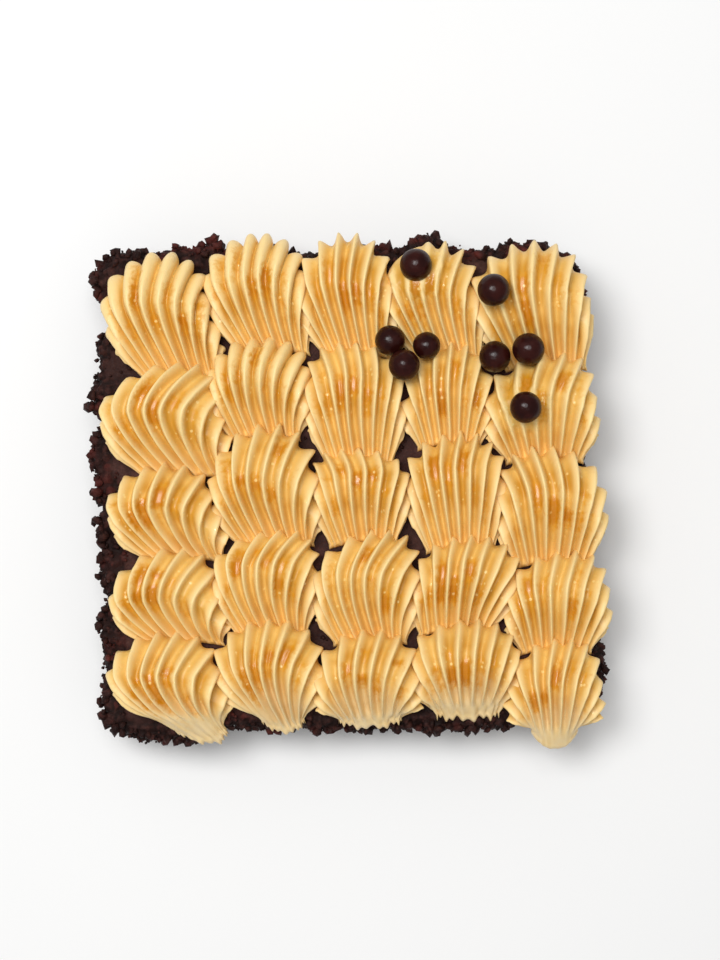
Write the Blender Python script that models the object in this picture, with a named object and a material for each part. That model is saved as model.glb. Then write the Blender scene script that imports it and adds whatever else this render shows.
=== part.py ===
"""Chocolate brownie: a square slab with five rows of piped caramel buttercream shells and eight pearls.

The slab lies flat on z = 0 with its middle over the origin. +X is to the right and +Y to the far side of the
topping as it is seen from above, and every shell has its head towards +Y and its tail towards -Y.
"""
import math
from collections import namedtuple

import bmesh
import bpy
import numpy as np
from mathutils import Vector, noise
from mathutils.bvhtree import BVHTree

MM = 0.001

# Slab of brownie
SLAB_WIDTH = 149.0 * MM
SLAB_DEPTH = 145.0 * MM
SLAB_HEIGHT = 28.0 * MM
SLAB_CORNER_RADIUS = 7.0 * MM
SLAB_COLUMNS = 100
SLAB_SIDE_HEIGHTS = (0.0, 0.28, 0.56, 0.84)
CRAG_DEPTH = 1.5 * MM
CRAG_SPACING = 6.5 * MM
CRAG_GAIN = 1.6
WAVE_DEPTH = 1.3 * MM
WAVE_SPACING = 34.0 * MM
WAVE_GAIN = 1.4
RIM_RINGS = ((0.0, 2.4 * MM), (3.2 * MM, 0.9 * MM))

# Piped shells, all a little to the right on the slab. GAP keeps each solid clear of the next one.
TOPPING_TO_RIGHT = 0.8 * MM
GAP = 0.3 * MM
TEETH = 14
RIBS_EACH_SIDE = 6
SIDE_CROWDING = 5.5
HEIGHT_TO_HALF_WIDTH = 0.92
FLANK_FULLNESS = 0.18
CROWN_FULLNESS = 1.2
FLANK_FROM = math.radians(80)
FLANK_DROP = 0.5
FLANK_SPREAD = 0.08
WIDEST_HEIGHT = 0.36
UNDERCUT = 1.9 * MM
UNDERCUT_ANGLE = math.radians(50)
CROWN_AT = 0.4
TAIL_TO_HALF_WIDTH = 0.55
TAIL_SIDES_LONGER = 1.6 * MM
TAIL_CROWDING = 0.85
TAIL_HEIGHT = 4.0 * MM
TAIL_UNDER_NEXT = 3.0 * MM
TAIL_CAP = 1.6 * MM
TAIL_SIDE_TO_MIDDLE = 0.35
TAIL_FULLNESS = 0.6
FALL_TO_TAIL = 1.5
HEAD_SWING_LATE = 1.6
TAIL_SWING_LATE = 1.3
RIB_TO_PITCH = 0.66
BEND_SIDE = math.radians(15)
BEND_SPREAD = math.radians(100)
RIB_DEPTH_MOST = 3.8 * MM
RIB_TO_HEIGHT = 0.6
RIM_ZONE = 0.22
LOW_TAIL_ZONE = (0.2, 0.5)
OUTER_RIBS = (4.0, 5.5)
CORNER_ZONE = (0.45, 0.9)
LAST_RIB = (5.0, 6.0)
LAST_TAIL_HEIGHT = 2.4 * MM
SKIRT_ROWS = 1
TOP_ROWS = 4
CAP_ROWS = 1
ROWS_TO_RIM = 1.5
STEPS_EACH_RIB = 2
SHARP_FROM = math.radians(50)
NUDGE = 1e-4
CUT_FACES_KEPT = 0.86

# Pearls: crisp balls in dark chocolate
PEARL_SINK = 0.8 * MM
PEARL_SUBDIVISIONS = 2
PEARL_STEP = 0.1 * MM

# One shell as it was piped, in millimetres: the middle of its head, half its width, how far it reaches
# forwards and back, how far the front and the tail swing to the right, where the middle lies across the ribs
# (0 on a crest, 0.5 in a flute), how much of the ribs' depth is left at the rim, and the crests' bend
Shell = namedtuple("Shell", "x y half_width reach back head_swing tail_swing phase ends bend")
PIPING = (
    (
        Shell(-55.7, 56.5, 16.7, 15.6, 18.7, 2.1, 5.7, 0.5, 1.0, 1.0),
        Shell(-26.1, 63.0, 15.8, 13.8, 17.1, 1.4, 4.2, 0.5, 1.0, 1.2),
        Shell(0.2, 60.6, 15.1, 16.2, 17.1, 1.5, 3.2, 0.5, 1.0, 0.3),
        Shell(26.0, 57.6, 15.2, 15.6, 15.9, 2.2, 4.1, 0.5, 1.0, 0.8),
        Shell(54.8, 57.2, 18.0, 15.4, 12.6, 2.3, 4.5, 0.0, 0.9, 0.0),
    ),
    (
        Shell(-55.2, 24.6, 18.4, 14.7, 13.7, 6.1, 5.8, 0.0, 0.7, 4.0),
        Shell(-25.6, 35.2, 15.6, 10.9, 18.4, 1.1, 0.8, 0.5, 1.0, 2.2),
        Shell(2.5, 32.1, 15.0, 12.2, 18.5, -2.1, 0.8, 0.5, 0.7, 0.3),
        Shell(30.5, 28.3, 13.9, 15.3, 14.7, 1.1, -0.1, 0.0, 0.8, 0.5),
        Shell(57.5, 25.1, 17.2, 14.5, 14.5, 4.5, 1.1, 0.5, 0.8, 0.0),
    ),
    (
        Shell(-55.4, -3.8, 16.9, 13.4, 13.2, 1.3, 5.2, 0.0, 0.7, 3.2),
        Shell(-25.1, 3.2, 16.9, 17.4, 17.9, 2.0, 2.5, 0.5, 1.0, 2.2),
        Shell(3.4, 3.9, 15.0, 8.6, 13.4, -2.9, 0.4, 0.5, 0.7, 0.8),
        Shell(31.8, 5.2, 15.2, 11.5, 19.6, 1.9, 1.0, 0.0, 1.0, 0.3),
        Shell(60.1, -2.8, 16.7, 14.5, 16.2, -2.4, -0.1, 0.5, 0.9, 0.0),
    ),
    (
        Shell(-55.2, -30.9, 17.0, 15.5, 12.0, 3.0, 4.3, 0.5, 0.7, 3.4),
        Shell(-25.2, -21.9, 16.1, 10.8, 16.8, 4.7, 0.9, 0.0, 0.7, 2.6),
        Shell(4.9, -25.6, 16.3, 13.7, 17.4, 4.5, 0.3, 0.5, 0.9, 3.0),
        Shell(35.0, -24.5, 15.8, 10.2, 16.4, 1.2, -4.0, 0.0, 0.7, 2.0),
        Shell(61.4, -32.0, 15.8, 12.5, 14.9, 2.8, -0.6, 0.5, 0.7, 0.5),
    ),
    (
        Shell(-56.3, -53.2, 17.2, 13.0, 13.0, 1.7, 11.9, 0.5, 0.7, 4.0),
        Shell(-25.2, -50.6, 16.9, 13.1, 14.6, 0.7, 4.3, 0.0, 0.7, 2.2),
        Shell(4.1, -55.7, 16.5, 14.5, 13.4, 1.7, 0.6, 0.5, 0.7, 1.5),
        Shell(33.3, -49.9, 16.8, 10.8, 15.7, 1.3, 0.6, 0.5, 0.7, 0.5),
        Shell(59.7, -59.5, 14.8, 14.1, 14.3, 2.9, 0.2, 0.5, 0.7, 0.3),
    ),
)

# Length and half width in millimetres of the last row's tails, which lie free, and how round their ends are
FreeTail = namedtuple("FreeTail", "length half_width roundness")
FREE_TAILS = (
    FreeTail(20.5, 8.0, 0.5),
    FreeTail(20.4, 6.5, 0.5),
    FreeTail(14.6, 9.5, 0.2),
    FreeTail(18.6, 9.5, 0.1),
    FreeTail(18.5, 7.0, 0.7),
)

# Where the cut edges stand out of the true square or fall short of it, in millimetres: the place, how far
# out, and how far round it the edge follows
Swell = namedtuple("Swell", "x y out spread")
SWELLS = (
    Swell(-55.0, -72.5, 2.0, 17.0),
    Swell(74.5, 56.0, -2.6, 34.0),
    Swell(71.0, 71.0, -1.4, 14.0),
    Swell(74.5, -55.0, 1.6, 22.0),
    Swell(-66.0, 72.5, -3.0, 10.0),
    Swell(-5.0, 72.5, -1.2, 18.0),
    Swell(60.0, 72.5, 1.4, 12.0),
    Swell(48.0, -72.5, -1.6, 16.0),
)

# Middle and radius of each pearl seen from above, in millimetres, and how much deeper than PEARL_SINK it is
Pearl = namedtuple("Pearl", "x y radius deeper")
PEARLS = (
    Pearl(21.5, 65.2, 4.8, 2.6),
    Pearl(43.7, 56.7, 4.8, 0.0),
    Pearl(13.4, 43.5, 4.5, 0.0),
    Pearl(24.1, 41.6, 4.1, 0.0),
    Pearl(17.3, 35.9, 4.6, 0.0),
    Pearl(44.2, 37.9, 4.7, 0.0),
    Pearl(53.9, 39.7, 4.8, 0.0),
    Pearl(52.3, 22.5, 4.7, 1.6),
)


def clear_scene():
    for obj in list(bpy.data.objects):
        bpy.data.objects.remove(obj)


def make_material(name, colour, roughness):
    material = bpy.data.materials.new(name)
    material.use_nodes = True
    shader = material.node_tree.nodes["Principled BSDF"]
    shader.inputs["Base Color"].default_value = (*colour, 1.0)
    shader.inputs["Roughness"].default_value = roughness
    shader.inputs["Metallic"].default_value = 0.0
    return material


def object_from(name, points, faces, material=None, location=(0.0, 0.0, 0.0)):
    mesh = bpy.data.meshes.new(name)
    mesh.from_pydata([tuple(p) for p in points], [], faces)
    mesh.validate()
    obj = bpy.data.objects.new(name, mesh)
    obj.location = location
    bpy.context.scene.collection.objects.link(obj)
    if material:
        mesh.materials.append(material)
    return obj


def square_outline(count, half_width, half_depth, radius):
    """Points and outward directions evenly spaced round a square with rounded corners."""
    run_x, run_y = 2 * (half_width - radius), 2 * (half_depth - radius)
    arc = radius * math.pi / 2
    centres = (
        (half_width - radius, half_depth - radius),
        (-half_width + radius, half_depth - radius),
        (-half_width + radius, -half_depth + radius),
        (half_width - radius, -half_depth + radius),
    )
    stretches = []
    for corner, (cx, cy) in enumerate(centres):
        start = corner * math.pi / 2
        stretches.append(("arc", arc, (cx, cy), start))
        stretches.append(("run", run_x if corner % 2 == 0 else run_y, (cx, cy), start + math.pi / 2))
    total = sum(length for _, length, _, _ in stretches)
    points, outward = [], []
    for k in range(count):
        along = total * k / count
        for kind, length, (cx, cy), angle in stretches:
            if along <= length:
                break
            along -= length
        if kind == "arc":
            angle += along / radius
            shift = (0.0, 0.0)
        else:
            shift = (-math.sin(angle) * along, math.cos(angle) * along)
        direction = (math.cos(angle), math.sin(angle))
        points.append((cx + radius * direction[0] + shift[0], cy + radius * direction[1] + shift[1]))
        outward.append(direction)
    return points, outward


def crag(x, y, z):
    """How far the torn crumb stands out at a place, from -1 to 1."""
    return noise.noise(Vector((x, y, z)) / CRAG_SPACING) * CRAG_GAIN


def edge_out(x, y):
    """How far the cut edge stands out of the true square at a place on it."""
    out = noise.noise(Vector((x, y, SLAB_WIDTH)) / WAVE_SPACING) * WAVE_GAIN * WAVE_DEPTH
    for swell in SWELLS:
        apart = math.hypot(x - swell.x * MM, y - swell.y * MM) / (swell.spread * MM)
        out += swell.out * MM * math.exp(-apart * apart)
    return out


def make_slab(material):
    """The slab: a flat base, craggy cut sides, and a rim that crumbles away round the top."""
    outline, outward = square_outline(SLAB_COLUMNS, SLAB_WIDTH / 2, SLAB_DEPTH / 2, SLAB_CORNER_RADIUS)
    points = []
    for share in SLAB_SIDE_HEIGHTS:
        z = share * SLAB_HEIGHT
        for (x, y), (ox, oy) in zip(outline, outward):
            out = edge_out(x, y) + crag(x, y, z) * CRAG_DEPTH
            points.append((x + ox * out, y + oy * out, z))
    for inset, drop in RIM_RINGS:
        for (x, y), (ox, oy) in zip(outline, outward):
            out = edge_out(x, y) + crag(x, y, SLAB_HEIGHT) * CRAG_DEPTH - inset
            px, py = x + ox * out, y + oy * out
            sunk = drop * (1 + abs(crag(px, py, 2 * SLAB_HEIGHT))) / 2
            points.append((px, py, SLAB_HEIGHT - sunk))
    faces = [tuple(reversed(range(SLAB_COLUMNS)))]
    rings = len(SLAB_SIDE_HEIGHTS) + len(RIM_RINGS)
    for ring in range(rings - 1):
        for k in range(SLAB_COLUMNS):
            after = (k + 1) % SLAB_COLUMNS
            low, high = ring * SLAB_COLUMNS, (ring + 1) * SLAB_COLUMNS
            faces.append((low + k, low + after, high + after, high + k))
    top = (rings - 1) * SLAB_COLUMNS
    middle = len(points)
    points.append((0.0, 0.0, SLAB_HEIGHT))
    for k in range(SLAB_COLUMNS):
        faces.append((top + k, top + (k + 1) % SLAB_COLUMNS, middle))
    return object_from("brownie_slab", points, faces, material)


def eased(values, low, high):
    """0 below low, 1 above high, and smooth between."""
    share = np.clip((values - low) / (high - low), 0, 1)
    return share * share * (3 - 2 * share)


def tail_length(row, column):
    """A tail runs on a little under the head of the shell piped over it."""
    shell = PIPING[row][column]
    if row + 1 == len(PIPING):
        return FREE_TAILS[column].length * MM
    after = PIPING[row + 1][column]
    return (shell.y - after.y - after.reach) * MM + TAIL_UNDER_NEXT


def rib_profile(u, phase):
    """Height across the ribs: 1 on the crests, 0 in the bottom of the flutes."""
    return 0.5 + 0.5 * np.cos(2 * math.pi * (u - phase))


def smooth_form(row, column, psi, t):
    """The shell without its ribs. psi runs round the rim of its head, 0 at the front.

    t runs from -1 at the foot to 0 at the widest line, back over the crown to 1 at the tail's end, and down
    its cap to 2.
    """
    shell = PIPING[row][column]
    last = row + 1 == len(PIPING)
    free = FREE_TAILS[column]
    half_tail = free.half_width * MM if last else shell.half_width * MM * TAIL_TO_HALF_WIDTH
    tail_height = LAST_TAIL_HEIGHT if last else TAIL_HEIGHT
    sides_longer = -free.roundness * half_tail if last else TAIL_SIDES_LONGER
    tip = abs(shell.ends) * RIB_DEPTH_MOST / 2
    half_width = shell.half_width * MM - tip
    reach = shell.reach * MM - tip
    rear = shell.back * MM - tip
    height = shell.half_width * MM * HEIGHT_TO_HALF_WIDTH - RIB_DEPTH_MOST / 2
    length = tail_length(row, column)
    widest = math.radians(360 / TEETH) * RIBS_EACH_SIDE
    across = np.cos(psi / widest * math.pi / 2)

    behind = np.abs(psi) > math.pi / 2
    fullness = np.where(behind, FLANK_FULLNESS, 1.0)
    broad = half_width * (1 + FLANK_SPREAD * eased(np.abs(psi), FLANK_FROM, widest))
    rim_x = broad * np.sign(psi) * np.abs(np.sin(psi)) ** fullness
    rim_y = np.cos(psi) * np.where(behind, rear, reach)
    under = UNDERCUT_ANGLE * np.clip(t, -1, 0)
    shrink = 1 - UNDERCUT / half_width * (1 - np.cos(under)) / (1 - math.cos(UNDERCUT_ANGLE))
    back = np.clip(t, 0, 1)
    tail_x = half_tail * np.sign(psi) * np.abs(np.sin(psi / widest * math.pi / 2)) ** TAIL_CROWDING
    x = (1 - back) * rim_x * shrink + back * tail_x
    y = (1 - back) * rim_y * shrink - back * (length + sides_longer * (1 - across * across))

    rim_z = height * WIDEST_HEIGHT * (1 - FLANK_DROP * eased(np.abs(psi), FLANK_FROM, widest))
    arch = np.maximum(across, 0)
    crown_z = rim_z + (height - rim_z) * arch**CROWN_FULLNESS
    side = TAIL_SIDE_TO_MIDDLE
    tail_z = np.minimum(tail_height * (side + (1 - side) * arch**TAIL_FULLNESS), crown_z)
    rise = np.sqrt(1 - (1 - np.clip(back / CROWN_AT, 0, 1)) ** 2)
    fall = np.clip((back - CROWN_AT) / (1 - CROWN_AT), 0, 1) ** FALL_TO_TAIL
    z = np.where(back < CROWN_AT, rim_z + (crown_z - rim_z) * rise, crown_z + (tail_z - crown_z) * fall)
    z = np.where(t < 0, rim_z * (1 + np.sin(under) / math.sin(UNDERCUT_ANGLE)), z)
    cap = np.clip(t - 1, 0, 1) * math.pi / 2
    y = y - TAIL_CAP * np.sin(cap)
    z = z * np.where(t > 1, np.cos(cap), 1)

    swing_front = shell.head_swing * MM * np.maximum(y / reach, 0) ** HEAD_SWING_LATE
    swing_back = shell.tail_swing * MM * np.maximum(-y / length, 0) ** TAIL_SWING_LATE
    nearness = (psi - BEND_SIDE) / BEND_SPREAD
    bent = shell.bend * MM * np.sin(back * math.pi) * np.exp(-nearness * nearness)
    return np.stack([x + swing_front + swing_back - bent, y, z], axis=-1)


def shell_mesh(row, column, grow=0.0):
    """Points and faces of one closed shell with its ribs, standing on z = 0 round its own middle."""
    shell = PIPING[row][column]
    steps = RIBS_EACH_SIDE * STEPS_EACH_RIB
    u = np.arange(-steps, steps + 1) / STEPS_EACH_RIB
    straight = u * 360 / TEETH
    psi = np.radians(straight - SIDE_CROWDING * np.sin(np.radians(2 * straight)))
    t = np.concatenate(
        [
            np.linspace(-1, 0, SKIRT_ROWS + 1)[:-1],
            np.linspace(0, 1, TOP_ROWS + 1) ** ROWS_TO_RIM,
            1 + np.linspace(0, 1, CAP_ROWS + 1)[1:],
        ]
    )
    psi, t = np.meshgrid(psi, t)
    u, _ = np.meshgrid(u, t[:, 0])
    form = smooth_form(row, column, psi, t)
    along_rim = smooth_form(row, column, psi + NUDGE, t) - smooth_form(row, column, psi - NUDGE, t)
    along_rib = smooth_form(row, column, psi, t + NUDGE) - smooth_form(row, column, psi, t - NUDGE)
    normal = np.cross(along_rib, along_rim)
    normal /= np.linalg.norm(normal, axis=-1, keepdims=True) + 1e-12

    pitch = np.linalg.norm(along_rim, axis=-1) / (2 * NUDGE) * math.radians(360 / TEETH)
    depth = np.minimum(RIB_TO_PITCH * pitch, RIB_DEPTH_MOST)
    low_tail = eased(t, *LOW_TAIL_ZONE)
    depth = np.minimum(depth, RIB_TO_HEIGHT * form[..., 2] + RIB_DEPTH_MOST * (1 - low_tail))
    depth = depth * (1 - eased(t, 1, 2))
    depth = depth * (1 - eased(np.abs(u), *OUTER_RIBS) * eased(t, *CORNER_ZONE))
    depth = depth * (1 - eased(np.abs(u), *LAST_RIB) / 2)
    ends = shell.ends + (1 - shell.ends) * eased(t, 0, RIM_ZONE)
    out = (depth * (rib_profile(u, shell.phase) - 0.5))[..., None] * normal
    out[..., :2] *= ends[..., None]
    points = form + out + grow * normal

    points[0, :, 2] = points[-1, :, 2] = 0
    foot_left, foot_right = points[:, :1].copy(), points[:, -1:].copy()
    foot_left[..., 2] = foot_right[..., 2] = 0
    points = np.concatenate([foot_left, points, foot_right], axis=1)
    if grow:
        points[..., 2] = np.where(points[..., 2] <= 0, -grow, points[..., 2])

    rows, columns = points.shape[:2]
    index = np.arange(rows * columns).reshape(rows, columns)
    faces = []
    for r in range(rows - 1):
        for c in range(columns - 1):
            faces.append((index[r, c], index[r + 1, c], index[r + 1, c + 1]))
            faces.append((index[r, c], index[r + 1, c + 1], index[r, c + 1]))
    edge = [*index[0, :], *index[1:, -1], *index[-1, -2::-1], *index[-2:0:-1, 0]]
    faces.append(edge)
    return points.reshape(-1, 3), [tuple(int(i) for i in face) for face in faces]


def shell_place(row, column):
    shell = PIPING[row][column]
    return Vector((shell.x * MM + TOPPING_TO_RIGHT, shell.y * MM, SLAB_HEIGHT))


def world_tree(points, faces, place):
    return BVHTree.FromPolygons([Vector(p) + place for p in points], faces)


def pearl_middles(trees):
    """Where the pearls lie: each comes down on the shells, is pressed in, and clears those before it."""
    middles = []
    for pearl in PEARLS:
        radius = pearl.radius * MM
        middle = Vector((pearl.x * MM + TOPPING_TO_RIGHT, pearl.y * MM, SLAB_HEIGHT * 2))
        while all(tree.find_nearest(middle, radius)[0] is None for tree in trees):
            middle.z -= PEARL_STEP
        middle.z += GAP - PEARL_SINK - pearl.deeper * MM
        placed = list(zip(PEARLS, middles))
        while any((middle - there).length < radius + other.radius * MM + GAP for other, there in placed):
            middle.z += PEARL_STEP
        middles.append(middle)
    return middles


def keep_largest_body(obj):
    """Drops the loose scraps that a cut leaves, also one that touches the rest at a single point."""
    work = bmesh.new()
    work.from_mesh(obj.data)
    bmesh.ops.triangulate(work, faces=work.faces[:])
    unseen, bodies = set(work.faces), []
    while unseen:
        body, reach = set(), [unseen.pop()]
        while reach:
            face = reach.pop()
            body.add(face)
            joined = [edge for edge in face.edges if len(edge.link_faces) == 2]
            near = {other for edge in joined for other in edge.link_faces} & unseen
            unseen -= near
            reach.extend(near)
        bodies.append(body)
    bodies.sort(key=len)
    bmesh.ops.delete(work, geom=[face for body in bodies[:-1] for face in body], context="FACES")
    work.to_mesh(obj.data)
    work.free()


def apply_modifier(obj):
    bpy.context.view_layer.update()
    evaluated = obj.evaluated_get(bpy.context.evaluated_depsgraph_get())
    result = bpy.data.meshes.new_from_object(evaluated)
    obj.modifiers.clear()
    obj.data = result


def cut(obj, cutters):
    """Takes the cutters out of an object one by one, each applied, and thins the cut faces."""
    for cutter in cutters:
        modifier = obj.modifiers.new("clear_of_neighbour", "BOOLEAN")
        modifier.operation = "DIFFERENCE"
        modifier.object = cutter
        modifier.solver = "MANIFOLD"
        apply_modifier(obj)
        bpy.data.objects.remove(cutter)
    keep_largest_body(obj)
    modifier = obj.modifiers.new("thin_cut_faces", "DECIMATE")
    modifier.ratio = CUT_FACES_KEPT
    modifier.use_collapse_triangulate = True
    apply_modifier(obj)


def ball(name, radius, location, material=None):
    work = bmesh.new()
    bmesh.ops.create_icosphere(work, subdivisions=PEARL_SUBDIVISIONS, radius=radius)
    points = [tuple(vertex.co) for vertex in work.verts]
    faces = [[vertex.index for vertex in face.verts] for face in work.faces]
    work.free()
    obj = object_from(name, points, faces, material, location)
    obj.data.shade_smooth()
    return obj


def make_topping(cream, chocolate):
    """All shells, each cut back from those piped after it and from the pearls, and the pearls themselves."""
    order = [(row, column) for row in range(len(PIPING)) for column in range(len(PIPING[row]))]
    meshes = {key: shell_mesh(*key) for key in order}
    trees = {key: world_tree(*meshes[key], shell_place(*key)) for key in order}
    lift = Vector((0, 0, GAP))
    middles = pearl_middles(list(trees.values()))
    for number, key in enumerate(order):
        place = shell_place(*key) + lift
        name = f"shell_{key[0] + 1}_{key[1] + 1}"
        obj = object_from(name, *meshes[key], cream, place)
        cutters = []
        for later in order[number + 1 :]:
            if not trees[key].overlap(trees[later]):
                continue
            there = shell_place(*later) + lift
            cutters.append(object_from("cutter", *shell_mesh(*later, grow=GAP), None, there))
            cutters.append(object_from("cutter", *meshes[later], None, there))
        for pearl, middle in zip(PEARLS, middles):
            reach = pearl.radius * MM + GAP
            if trees[key].find_nearest(middle - lift, reach)[0] is not None:
                cutters.append(ball("cutter", reach, middle))
        if cutters:
            cut(obj, cutters)
        obj.data.shade_smooth()
        obj.data.set_sharp_from_angle(angle=SHARP_FROM)
    for number, (pearl, middle) in enumerate(zip(PEARLS, middles), start=1):
        ball(f"pearl_{number}", pearl.radius * MM, middle, chocolate)


def main():
    clear_scene()
    crumb = make_material("brownie_crumb", (0.055, 0.024, 0.018), 0.85)
    cream = make_material("caramel_buttercream", (0.76, 0.49, 0.21), 0.5)
    chocolate = make_material("dark_chocolate", (0.035, 0.012, 0.011), 0.35)
    make_slab(crumb)
    make_topping(cream, chocolate)


main()
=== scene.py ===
"""The looks of a chocolate brownie slab topped with piped caramel buttercream shells and chocolate pearls."""

import math
import random
from collections import namedtuple

import bmesh
import bpy
import numpy as np
from mathutils import Matrix, Vector, noise


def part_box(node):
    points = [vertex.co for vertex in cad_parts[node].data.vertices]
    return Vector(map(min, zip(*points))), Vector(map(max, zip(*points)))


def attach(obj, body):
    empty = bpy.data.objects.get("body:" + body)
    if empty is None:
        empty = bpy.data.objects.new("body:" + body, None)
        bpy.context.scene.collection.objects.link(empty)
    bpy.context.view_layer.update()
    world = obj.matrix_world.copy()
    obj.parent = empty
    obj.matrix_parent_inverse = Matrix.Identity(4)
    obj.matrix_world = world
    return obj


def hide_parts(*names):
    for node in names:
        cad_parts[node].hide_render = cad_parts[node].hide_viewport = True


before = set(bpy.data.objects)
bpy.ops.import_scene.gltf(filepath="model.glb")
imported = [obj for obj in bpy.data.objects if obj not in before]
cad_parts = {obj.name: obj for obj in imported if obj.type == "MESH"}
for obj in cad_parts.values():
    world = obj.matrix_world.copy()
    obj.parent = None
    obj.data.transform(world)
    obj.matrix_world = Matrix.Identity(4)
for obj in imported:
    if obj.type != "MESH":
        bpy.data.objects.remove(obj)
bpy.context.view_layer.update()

MM = 0.001

# Slab of brownie, as the solid has it
SLAB_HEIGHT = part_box("brownie_slab")[1].z
SLAB_WIDTH = 149.0 * MM
SLAB_DEPTH = 145.0 * MM
SLAB_CORNER_RADIUS = 7.0 * MM
SLAB_COLUMNS = 360
SLAB_LEVELS = 14
SLAB_VOXEL = 0.85 * MM
CRAG_DEPTH = 1.0 * MM
CRAG_SPACING = 6.5 * MM
CRAG_GAIN = 1.6
RIM_INSET = 3.2 * MM
RIM_DROP = 2.4 * MM

# Crumb torn open on the slab's sides and rim. Heights of lumps on the slab are in millimetres.
Lumps = namedtuple("Lumps", "spacing height")
TORN_COARSE = Lumps(3.4 * MM, 1.15)
TORN_MIDDLING = Lumps(1.7 * MM, 0.5)
TORN_SOFT = Lumps(2.4 * MM, 0.6)
TORN_SUNK = 0.35
LUMP_STEEPNESS = 2.2
LUMP_RANGE = 1.4

# Crust on top: its own low lumps, how far in from the edge it starts, and how ragged that line is
CRUST_BROAD = Lumps(5.0 * MM, 0.3)
CRUST_FINE = Lumps(1.6 * MM, 0.16)
CRUST_CRUMB = 0.16
CRUST_FROM = (5.5 * MM, 7.5 * MM)
CRUST_HIGHEST = 0.3 * MM
RAGGED_BROAD = Lumps(8.0 * MM, 3.2 * MM)
RAGGED_FINE = Lumps(2.6 * MM, 1.2 * MM)

# How steeply a face looks up where crust begins or down where lumps end, and how low it is where they fade
FACES_UP = (0.6, 0.95)
FACES_DOWN = (0.5, 0.9)
NEAR_FLOOR = (0.2 * MM, 1.6 * MM)

# Piped shells, much as the solids have them
TOPPING_TO_RIGHT = 0.8 * MM
TEETH = 14
RIBS_EACH_SIDE = 6
SIDE_CROWDING = 5.5
HEIGHT_TO_HALF_WIDTH = 0.92
FLANK_FULLNESS = 0.18
CROWN_FULLNESS = 1.2
FLANK_FROM = math.radians(80)
FLANK_DROP = 0.5
FLANK_SPREAD = 0.14
WIDEST_HEIGHT = 0.36
UNDERCUT = 1.9 * MM
UNDERCUT_ANGLE = math.radians(50)
CROWN_AT = 0.4
TAIL_TO_HALF_WIDTH = 0.68
TAIL_SIDES_LONGER = 1.6 * MM
TAIL_CROWDING = 0.85
TAIL_HEIGHT = 4.0 * MM
TAIL_UNDER_NEXT = 3.0 * MM
TAIL_CAP = 1.6 * MM
TAIL_SIDE_TO_MIDDLE = 0.35
TAIL_FULLNESS = 0.6
FALL_TO_TAIL = 1.5
HEAD_SWING_LATE = 1.6
TAIL_SWING_LATE = 1.3
RIB_TO_PITCH = 1.0
BEND_SIDE = math.radians(15)
BEND_SPREAD = math.radians(100)
RIB_DEPTH_MOST = 3.8 * MM
RIB_TO_HEIGHT = 0.6
CREST_ROUNDING = 0.34
ROUND_HOLLOW = 0.38
RIM_ZONE = 0.22
LOW_TAIL_ZONE = (0.2, 0.5)
OUTER_RIBS = (4.0, 5.5)
CORNER_ZONE = (0.45, 0.9)
LAST_RIB = (5.0, 6.0)
LAST_TAIL_HEIGHT = 2.4 * MM
TAIL_WAVES = (9.0, 3.7)
SHELL_LIFT = 0.3 * MM
SHELL_SUNK = 0.6 * MM

# Pearls pressed into the buttercream: how far round each it is smooth, in radii, and how much it has risen
Pressed = namedtuple("Pressed", "number reach rise")
PRESSED = (Pressed(1, 1.9, 1.7 * MM), Pressed(8, 1.4, 0.4 * MM))

# How finely the shells are drawn
SKIRT_ROWS = 7
TOP_ROWS = 46
CAP_ROWS = 5
ROWS_CROWDED = 1.35
STEPS_EACH_RIB = 14
NUDGE = 1e-4

# How uneven the piping is: ribs wander sideways and differ in depth, and the skin has lumps of two sizes
RIB_WANDER = 0.10
WANDER_OVER_RIBS = 2.2
WANDER_ALONG = 1.6
RIB_UNEVEN = 0.2
UNEVEN_ALONG = 1.3
SKIN_LUMPS = Lumps(5.5 * MM, 0.22 * MM)
SKIN_PIMPLES = Lumps(1.4 * MM, 0.05 * MM)
SKIN_TORN = Lumps(1.6 * MM, 2.0 * MM)
SKIN_FULL_AT = 2 * MM

# Caramel in the flutes: pools in each, how many ribs it reaches from its middle, how far that is from the
# shell's middle, how full a pool is, the least that shows and how thick it lies. Then where pools start, how
# long they are, how softly they begin and end, and where they thin out across a flute.
CARAMEL_POOLS = 2
CARAMEL_REACH = 4.6
CARAMEL_SIDE = 0.9
CARAMEL_FULLNESS = (0.3, 1.5)
CARAMEL_LEAST = 0.2
CARAMEL_THICKNESS = 0.16
CARAMEL_START = (0.04, 0.5)
CARAMEL_LENGTH = (0.16, 0.4)
CARAMEL_BEGINS = (-0.08, 0.1)
CARAMEL_ENDS = (-0.16, 0.08)
CARAMEL_BANKS = (0.16, 0.52)

# Pale buttercream: how pale flanks and tails are, which ribs are on the flanks, and where along them it is
CREAM_ON_FLANKS = 0.55
CREAM_ON_TAILS = 0.15
FLANK_RIBS = (3.2, 5.6)
CREAM_ALONG_FLANKS = (0.15, 0.6)
CREAM_ALONG_TAILS = (0.75, 1.0)
CREAM_ALONG_FREE_TAILS = (0.35, 0.9)

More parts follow.
